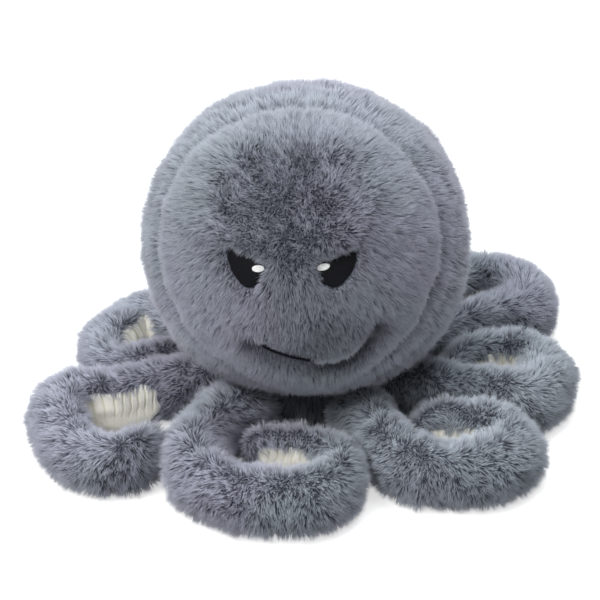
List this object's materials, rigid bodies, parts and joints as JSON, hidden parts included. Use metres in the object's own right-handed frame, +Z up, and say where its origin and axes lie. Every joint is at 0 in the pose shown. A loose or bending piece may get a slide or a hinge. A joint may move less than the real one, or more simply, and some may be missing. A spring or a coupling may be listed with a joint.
{
  "type": "plush octopus",
  "caption": "Plush octopus with a round furry head, stitched eyes and a sewn smile, and curled legs lined with pale ribbed fabric, made to sit on a flat surface.",
  "frame": {"origin": "on the floor under the middle of the head, at the centre of the base panel's flat underside", "axes": "+Z up, the face looks along -Y, +X to the right of someone who faces the toy"},
  "size_m": [0.3894, 0.3826, 0.2455],
  "materials": {
    "fur": "long soft pile, matt",
    "lining": "ribbed plush, matt",
    "filling": "loose fibre",
    "black_thread": "embroidery thread with a slight sheen",
    "white_thread": "embroidery thread with a slight sheen",
    "base_fabric": "short pile, matt"
  },
  "bodies": {
    "head": {"head_face_left": "fur", "head_face_right": "fur", "head_back_left": "fur", "head_back_right": "fur", "head_filling": "filling", "base_panel": "base_fabric", "eye_left": "black_thread", "eye_right": "black_thread", "eye_highlight_left": "white_thread", "eye_highlight_right": "white_thread", "mouth_thread": "black_thread"},
    "leg_1": {"leg_1_fur": "fur", "leg_1_lining": "lining", "leg_1_filling": "filling"},
    "leg_2": {"leg_2_fur": "fur", "leg_2_lining": "lining", "leg_2_filling": "filling"},
    "leg_3": {"leg_3_fur": "fur", "leg_3_lining": "lining", "leg_3_filling": "filling"},
    "leg_4": {"leg_4_fur": "fur", "leg_4_lining": "lining", "leg_4_filling": "filling"},
    "leg_5": {"leg_5_fur": "fur", "leg_5_lining": "lining", "leg_5_filling": "filling"},
    "leg_6": {"leg_6_fur": "fur", "leg_6_lining": "lining", "leg_6_filling": "filling"},
    "leg_7": {"leg_7_fur": "fur", "leg_7_lining": "lining", "leg_7_filling": "filling"},
    "leg_8": {"leg_8_fur": "fur", "leg_8_lining": "lining", "leg_8_filling": "filling"}
  },
  "joints": [
    {"name": "leg_1_lift", "type": "hinge", "parent": "head", "child": "leg_1", "pos_m": [-0.0435, -0.06699, 0.02242], "axis": [-0.8387, 0.5446, 0], "range_deg": [-25, 30]},
    {"name": "leg_2_lift", "type": "hinge", "parent": "head", "child": "leg_2", "pos_m": [0.04695, -0.06462, 0.02242], "axis": [-0.809, -0.5878, 0], "range_deg": [-25, 30]},
    {"name": "leg_3_lift", "type": "hinge", "parent": "head", "child": "leg_3", "pos_m": [0.07716, -0.02067, 0.02242], "axis": [-0.2588, -0.9659, 0], "range_deg": [-25, 30]},
    {"name": "leg_4_lift", "type": "hinge", "parent": "head", "child": "leg_4", "pos_m": [0.07297, 0.03249, 0.02242], "axis": [0.4067, -0.9135, 0], "range_deg": [-25, 30]},
    {"name": "leg_5_lift", "type": "hinge", "parent": "head", "child": "leg_5", "pos_m": [0.03376, 0.07239, 0.02242], "axis": [0.9063, -0.4226, 0], "range_deg": [-25, 30]},
    {"name": "leg_6_lift", "type": "hinge", "parent": "head", "child": "leg_6", "pos_m": [-0.02468, 0.07597, 0.02242], "axis": [0.9511, 0.309, 0], "range_deg": [-25, 30]},
    {"name": "leg_7_lift", "type": "hinge", "parent": "head", "child": "leg_7", "pos_m": [-0.0721, 0.03439, 0.02242], "axis": [0.4305, 0.9026, 0], "range_deg": [-25, 30]},
    {"name": "leg_8_lift", "type": "hinge", "parent": "head", "child": "leg_8", "pos_m": [-0.07457, -0.02863, 0.02242], "axis": [-0.3584, 0.9336, 0], "range_deg": [-25, 30]}
  ]
}
